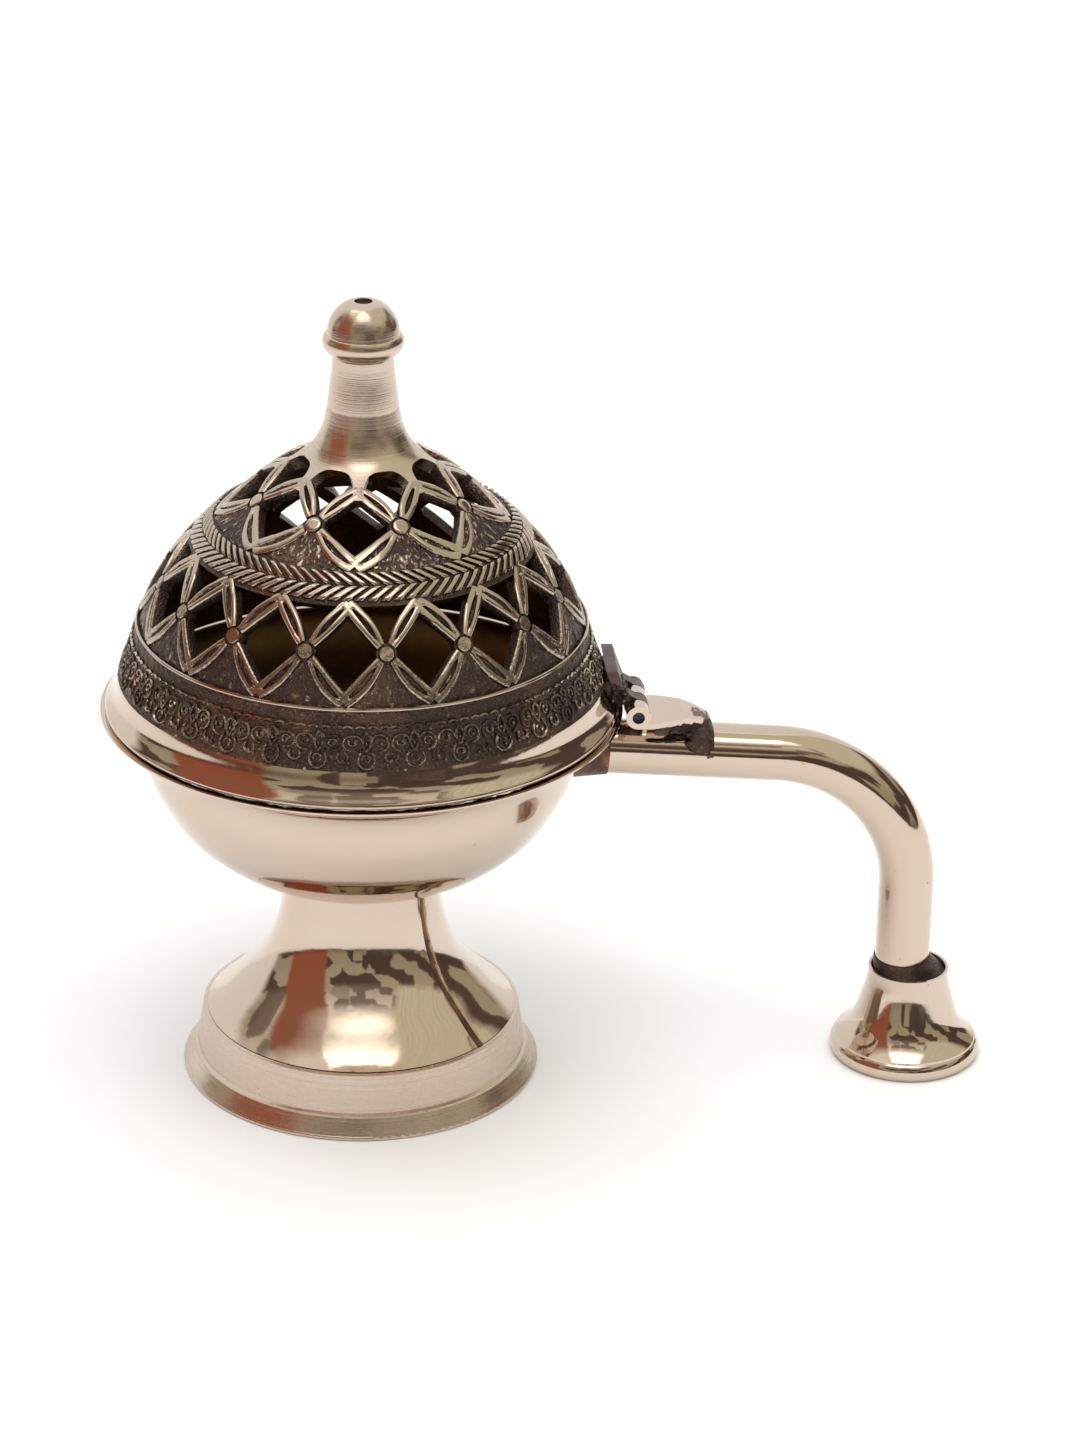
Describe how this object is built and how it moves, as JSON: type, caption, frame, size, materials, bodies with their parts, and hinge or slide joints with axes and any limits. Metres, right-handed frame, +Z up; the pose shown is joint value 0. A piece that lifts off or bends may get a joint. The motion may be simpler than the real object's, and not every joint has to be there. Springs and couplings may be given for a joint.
{
  "type": "hand censer",
  "caption": "Hand-held brass censer: footed bowl with a pierced, hinged domed lid and finial, and a downturned handle that ends in a small bell foot.",
  "frame": {"origin": "centre of the foot ring on the plane it stands on", "axes": "+Z up along the bowl's axis, +X from the bowl's axis along the handle, +Y to the left of the handle as seen from behind it, along the hinge pin"},
  "size_m": [0.1733, 0.1, 0.1576],
  "materials": {
    "polished_brass": "polished",
    "brushed_brass": "lathe brushed",
    "cast_brass": "cast, antiqued in the recesses, polished on the high parts",
    "dull_brass": "dull, heat darkened",
    "braze": "rough braze",
    "solder": "rough dark solder",
    "steel": "dull"
  },
  "bodies": {
    "base": {"foot_ring": "brushed_brass", "pedestal_cone": "polished_brass", "pedestal_seam": "braze", "pedestal_cap": "polished_brass", "bowl": "polished_brass", "charcoal_pan": "polished_brass", "bowl_screw": "steel", "bowl_washer": "steel", "bowl_nut": "steel", "handle_tube": "polished_brass", "handle_root_braze": "braze", "handle_bell": "polished_brass", "bell_solder": "solder", "hinge_handle_leaf": "polished_brass", "leaf_post": "solder", "leaf_solder": "solder", "hinge_pin": "steel"},
    "lid": {"lid_dome": "cast_brass", "hinge_lid_leaf": "dull_brass", "lid_leaf_solder": "solder", "finial": "polished_brass", "finial_stud": "steel", "finial_washer": "steel", "finial_nut": "steel"}
  },
  "joints": [
    {"name": "lid_hinge", "type": "hinge", "parent": "base", "child": "lid", "pos_m": [0.0525, 0, 0.0764], "axis": [0, 1, 0], "range_deg": [0, 115]}
  ]
}
